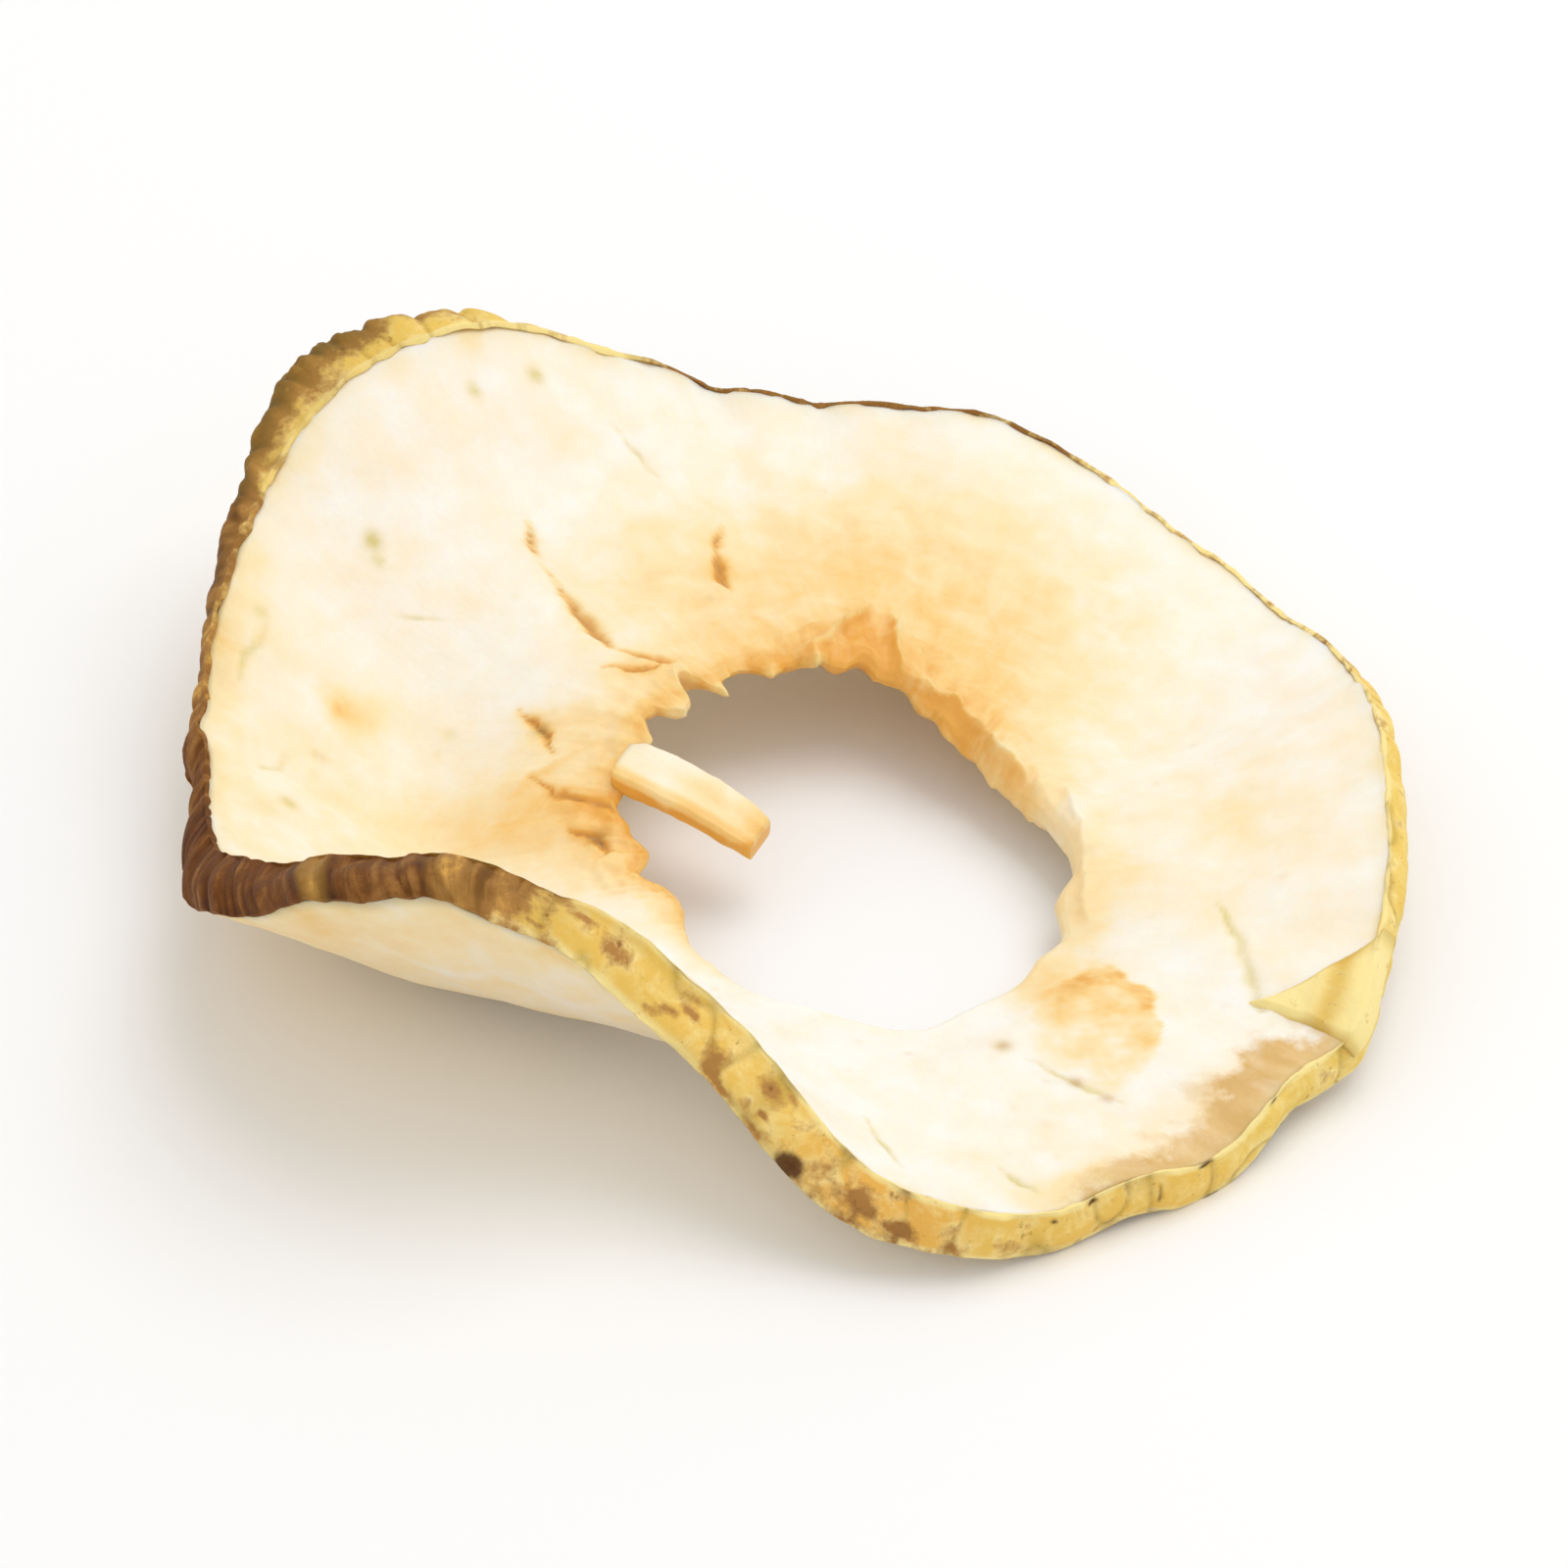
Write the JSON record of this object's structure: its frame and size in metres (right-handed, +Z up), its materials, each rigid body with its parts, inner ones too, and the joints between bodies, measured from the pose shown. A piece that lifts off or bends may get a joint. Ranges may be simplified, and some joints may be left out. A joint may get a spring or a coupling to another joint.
{
  "type": "dried apple slice",
  "caption": "Cored ring of dried apple, curled into a wavy sheet with a ribbed skin round its rim and a strip of core at its hole.",
  "frame": {"origin": "middle of the footprint, on the surface that the slice lies on", "axes": "+Z up out of the cut face, +X towards the low right lobe, +Y away from the viewer of the picture"},
  "size_m": [0.0656, 0.0664, 0.0194],
  "materials": {
    "apple_slice": "pale cream dried apple flesh, matt and faintly wrinkled, amber round the core, with a yellow-green to brown ribbed skin on the rim"
  },
  "bodies": {
    "root": {"apple_slice": "apple_slice"}
  },
  "joints": []
}
